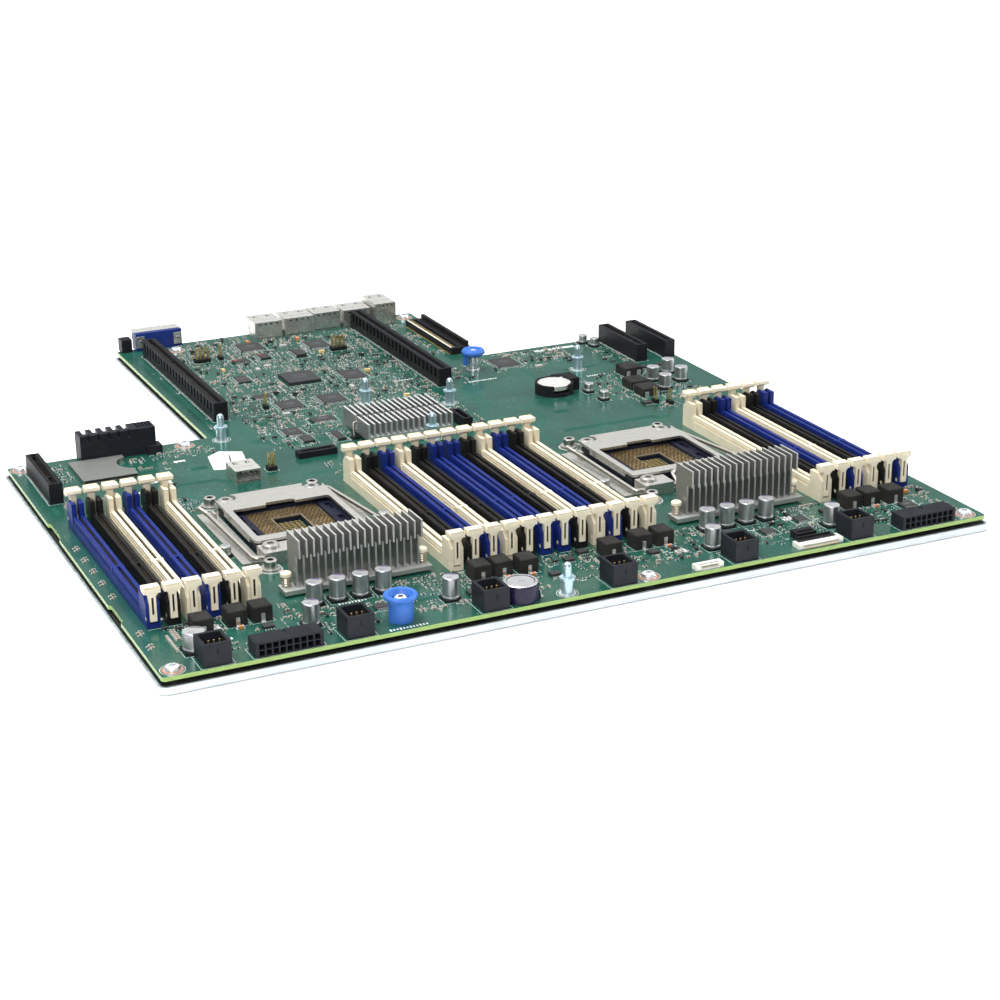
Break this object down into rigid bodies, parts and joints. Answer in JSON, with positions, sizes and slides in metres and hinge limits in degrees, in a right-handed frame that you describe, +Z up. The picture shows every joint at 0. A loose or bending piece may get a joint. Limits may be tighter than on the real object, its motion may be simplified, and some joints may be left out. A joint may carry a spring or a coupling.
{
  "type": "server motherboard on a tray",
  "caption": "Dual-socket server motherboard on a sheet-metal tray, with blue, black and white memory sockets, finned heat sinks, riser slots and rear ports.",
  "frame": {"origin": "on the underside of the tray, below the front-left corner of the circuit board", "axes": "+X to the right along the front edge, +Y to the rear ports, +Z up from the board"},
  "size_m": [0.4336, 0.4936, 0.0357],
  "materials": {
    "zinc_steel": "zinc plated, satin",
    "black_film": "matte",
    "board_laminate": "satin solder mask",
    "plated_steel": "bright plated",
    "blue_plastic": "satin moulded",
    "black_plastic": "satin moulded",
    "white_plastic": "satin moulded",
    "gold_plating": "plated",
    "cream_plastic": "satin moulded",
    "dark_plastic": "matte",
    "nickel_steel": "nickel plated",
    "spring_steel": "bright",
    "heat_sink_aluminium": "matte",
    "can_aluminium": "satin",
    "purple_sleeve": "shrink sleeve",
    "choke_ferrite": "matte moulded powder",
    "chip_epoxy": "matte moulded"
  },
  "bodies": {
    "board": {"tray": "zinc_steel", "tray_standoffs": "zinc_steel", "insulator_sheet": "black_film", "circuit_board": "board_laminate", "board_screws": "plated_steel", "guide_pins": "plated_steel", "memory_sockets_blue": "blue_plastic", "memory_sockets_black": "black_plastic", "memory_sockets_white": "white_plastic", "memory_contacts": "gold_plating", "processor_sockets": "dark_plastic", "processor_contacts": "gold_plating", "socket_frames": "nickel_steel", "socket_backplates": "zinc_steel", "cooler_studs": "plated_steel", "frame_screws": "plated_steel", "regulator_heat_sinks": "heat_sink_aluminium", "push_pins": "cream_plastic", "push_pin_springs": "spring_steel", "chipset_heat_sink": "heat_sink_aluminium", "heat_sink_clip": "spring_steel", "riser_slots": "black_plastic", "short_card_slots": "black_plastic", "fan_headers": "black_plastic", "power_connectors": "black_plastic", "contact_pins": "gold_plating", "pin_header_strips": "black_plastic", "power_block_connector": "black_plastic", "card_socket": "nickel_steel", "board_connectors": "black_plastic", "ribbon_connectors": "white_plastic", "network_jacks": "nickel_steel", "usb_ports": "nickel_steel", "video_connector": "blue_plastic", "pull_handle": "blue_plastic", "handle_screw": "plated_steel", "plunger_sleeve": "plated_steel", "plunger_spring": "spring_steel", "battery_holder": "black_plastic", "coin_cell": "nickel_steel", "capacitor_cans": "can_aluminium", "capacitor_feet": "black_plastic", "backup_capacitor": "purple_sleeve", "power_chokes": "choke_ferrite", "chip_packages": "chip_epoxy"},
    "latches_front_left": {"memory_latches_front_left": "cream_plastic"},
    "latches_front_centre": {"memory_latches_front_centre": "cream_plastic"},
    "latches_front_right": {"memory_latches_front_right": "cream_plastic"},
    "latches_rear_left": {"memory_latches_rear_left": "cream_plastic"},
    "latches_rear_centre": {"memory_latches_rear_centre": "cream_plastic"},
    "latches_rear_right": {"memory_latches_rear_right": "cream_plastic"},
    "load_plate_left": {"load_plate_left": "nickel_steel"},
    "load_plate_right": {"load_plate_right": "nickel_steel"},
    "lever_front_left": {"load_lever_front_left": "nickel_steel"},
    "lever_rear_left": {"load_lever_rear_left": "nickel_steel"},
    "lever_front_right": {"load_lever_front_right": "nickel_steel"},
    "lever_rear_right": {"load_lever_rear_right": "nickel_steel"},
    "plunger": {"plunger_knob": "blue_plastic", "plunger_pin": "plated_steel"},
    "ribbon_latch": {"ribbon_latch": "black_plastic"}
  },
  "joints": [
    {"name": "latches_front_left_hinge", "type": "hinge", "parent": "board", "child": "latches_front_left", "pos_m": [0.0119, 0.0532, 0.0123], "axis": [1, 0, 0], "range_deg": [0, 25]},
    {"name": "latches_rear_left_hinge", "type": "hinge", "parent": "board", "child": "latches_rear_left", "pos_m": [0.0119, 0.1918, 0.0123], "axis": [-1, 0, 0], "range_deg": [0, 25]},
    {"name": "latches_front_centre_hinge", "type": "hinge", "parent": "board", "child": "latches_front_centre", "pos_m": [0.1607, 0.0532, 0.0123], "axis": [1, 0, 0], "range_deg": [0, 25]},
    {"name": "latches_rear_centre_hinge", "type": "hinge", "parent": "board", "child": "latches_rear_centre", "pos_m": [0.1607, 0.1918, 0.0123], "axis": [-1, 0, 0], "range_deg": [0, 25]},
    {"name": "latches_front_right_hinge", "type": "hinge", "parent": "board", "child": "latches_front_right", "pos_m": [0.3686, 0.0532, 0.0123], "axis": [1, 0, 0], "range_deg": [0, 25]},
    {"name": "latches_rear_right_hinge", "type": "hinge", "parent": "board", "child": "latches_rear_right", "pos_m": [0.3686, 0.1918, 0.0123], "axis": [-1, 0, 0], "range_deg": [0, 25]},
    {"name": "load_plate_left_hinge", "type": "hinge", "parent": "board", "child": "load_plate_left", "pos_m": [0.1096, 0.179, 0.0111], "axis": [-1, 0, 0], "range_deg": [0, 100]},
    {"name": "lever_front_left_hinge", "type": "hinge", "parent": "board", "child": "lever_front_left", "pos_m": [0.1096, 0.101, 0.0111], "axis": [1, 0, 0], "range_deg": [0, 135]},
    {"name": "lever_rear_left_hinge", "type": "hinge", "parent": "board", "child": "lever_rear_left", "pos_m": [0.1096, 0.179, 0.0111], "axis": [-1, 0, 0], "range_deg": [0, 135]},
    {"name": "load_plate_right_hinge", "type": "hinge", "parent": "board", "child": "load_plate_right", "pos_m": [0.3176, 0.179, 0.0111], "axis": [-1, 0, 0], "range_deg": [0, 100]},
    {"name": "lever_front_right_hinge", "type": "hinge", "parent": "board", "child": "lever_front_right", "pos_m": [0.3176, 0.101, 0.0111], "axis": [1, 0, 0], "range_deg": [0, 135]},
    {"name": "lever_rear_right_hinge", "type": "hinge", "parent": "board", "child": "lever_rear_right", "pos_m": [0.3176, 0.179, 0.0111], "axis": [-1, 0, 0], "range_deg": [0, 135]},
    {"name": "plunger_slide", "type": "slide", "parent": "board", "child": "plunger", "axis": [0, 0, 1], "range_m": [0, 0.0036], "deforming": ["plunger_spring"]},
    {"name": "ribbon_latch_hinge", "type": "hinge", "parent": "board", "child": "ribbon_latch", "pos_m": [0.3331, 0.0066, 0.0092], "axis": [1, 0, 0], "range_deg": [0, 90]}
  ]
}
